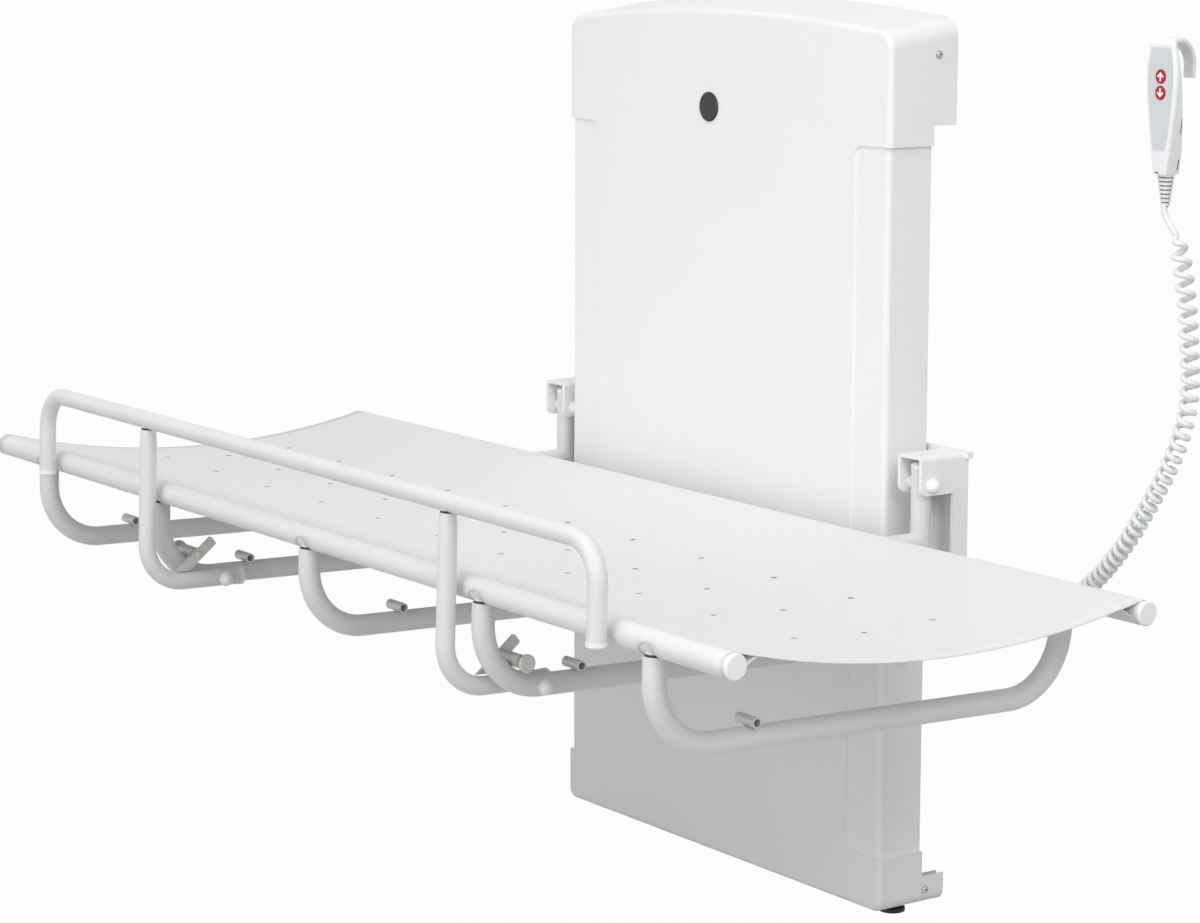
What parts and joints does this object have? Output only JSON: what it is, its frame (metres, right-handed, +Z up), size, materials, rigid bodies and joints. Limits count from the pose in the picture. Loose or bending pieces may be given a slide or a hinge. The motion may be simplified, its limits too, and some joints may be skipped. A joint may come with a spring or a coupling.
{
  "type": "shower changing table",
  "caption": "Wall-fixed changing bench: a fabric sling stretched on tube rails with a swing-down guard, folding up from a covered lifting column driven by a corded handset.",
  "frame": {"origin": "centre of the four wall bolts on the wall plane, 640 mm above the floor", "axes": "+X right along the wall seen from the room, +Y into the wall, +Z up"},
  "size_m": [1.9, 0.8809, 1.313],
  "materials": {
    "frame_steel": "satin grey powder coat",
    "cover_white": "semi-gloss white formed sheet",
    "screw_steel": "plain steel",
    "badge_dark": "plain dark disc",
    "box_dark": "moulded dark grey",
    "lift_aluminium": "anodised",
    "bracket_metal": "light grey sheet",
    "tube_white": "white powder coat",
    "cap_white": "white moulded",
    "fitting_steel": "warm grey metal",
    "sling_fabric": "coated pale fabric",
    "rubber_black": "matt black rubber",
    "handset_light": "white moulded, satin",
    "handset_grey": "pale blue-grey inlay",
    "button_red": "red keys",
    "cord_skin": "white cord sheath"
  },
  "bodies": {
    "column": {"wall_frame": "frame_steel", "base_shelf": "frame_steel", "top_bracket": "frame_steel", "cover": "cover_white", "cover_screws": "screw_steel", "badge": "badge_dark", "control_box": "box_dark", "lift_outer_left": "lift_aluminium", "lift_outer_right": "lift_aluminium", "handset_shell": "handset_light", "handset_panel": "handset_grey", "strain_relief": "cord_skin", "handset_cord": "cord_skin", "cord_gland": "cord_skin"},
    "lift_middle": {"lift_middle_left": "lift_aluminium", "lift_middle_right": "lift_aluminium"},
    "carriage": {"lift_inner_left": "lift_aluminium", "lift_inner_right": "lift_aluminium", "carriage_head": "frame_steel", "carriage_plate": "bracket_metal", "bracket_left": "bracket_metal", "bracket_right": "bracket_metal", "arm_stop_left": "rubber_black", "arm_stop_right": "rubber_black", "pivot_bolts": "cap_white"},
    "bench": {"front_rail": "tube_white", "rear_rail": "tube_white", "rail_caps": "cap_white", "cross_tube_1": "tube_white", "cross_tube_2": "tube_white", "cross_tube_3": "tube_white", "cross_tube_4": "tube_white", "cross_tube_5": "tube_white", "tray_sockets": "fitting_steel", "hinge_arm_left": "tube_white", "hinge_arm_right": "tube_white", "arm_caps": "cap_white", "sling": "sling_fabric", "latch_bushes": "fitting_steel", "guard_bolts": "cap_white"},
    "guard": {"guard_rail": "tube_white", "guard_arm_left": "tube_white", "guard_arm_right": "tube_white", "guard_caps": "cap_white"},
    "latch_left": {"latch_spindle_left": "fitting_steel", "latch_plate_left": "fitting_steel"},
    "latch_right": {"latch_spindle_right": "fitting_steel", "latch_plate_right": "fitting_steel"},
    "key_up": {"button_up": "button_red"},
    "key_down": {"button_down": "button_red"},
    "foot_screw_left": {"foot_left": "rubber_black"},
    "foot_screw_right": {"foot_right": "rubber_black"}
  },
  "joints": [
    {"name": "height_lift", "type": "slide", "parent": "column", "child": "carriage", "axis": [0, 0, 1], "range_m": [-0.286, 0.364]},
    {"name": "middle_stage_lift", "type": "slide", "parent": "column", "child": "lift_middle", "axis": [0, 0, 1], "range_m": [-0.143, 0.182]},
    {"name": "bench_fold", "type": "hinge", "parent": "carriage", "child": "bench", "pos_m": [0, -0.096, 0.009], "axis": [-1, 0, 0], "range_deg": [0, 90]},
    {"name": "guard_fold", "type": "hinge", "parent": "bench", "child": "guard", "pos_m": [0, -0.74427, -0.18855], "axis": [1, 0, 0], "range_deg": [0, 150]},
    {"name": "latch_turn_left", "type": "hinge", "parent": "bench", "child": "latch_left", "pos_m": [-0.43, -0.7835, -0.14976], "axis": [-1, 0, 0], "range_deg": [0, 45], "stiffness_Nm_per_rad": 0.6, "springref_deg": -8.59},
    {"name": "latch_turn_right", "type": "hinge", "parent": "bench", "child": "latch_right", "pos_m": [0.43, -0.7835, -0.14976], "axis": [-1, 0, 0], "range_deg": [0, 45], "stiffness_Nm_per_rad": 0.6, "springref_deg": -8.59},
    {"name": "up_press", "type": "slide", "parent": "column", "child": "key_up", "axis": [0, 1, 0], "range_m": [0, 0.001], "stiffness_N_per_m": 900, "springref_m": -0.0006},
    {"name": "down_press", "type": "slide", "parent": "column", "child": "key_down", "axis": [0, 1, 0], "range_m": [0, 0.001], "stiffness_N_per_m": 900, "springref_m": -0.0006},
    {"name": "foot_level_left", "type": "slide", "parent": "column", "child": "foot_screw_left", "axis": [0, 0, -1], "range_m": [0, 0.015]},
    {"name": "foot_level_right", "type": "slide", "parent": "column", "child": "foot_screw_right", "axis": [0, 0, -1], "range_m": [0, 0.015]}
  ],
  "couplings": [
    {"joint": "middle_stage_lift", "follows": "height_lift", "ratio": 0.5}
  ]
}
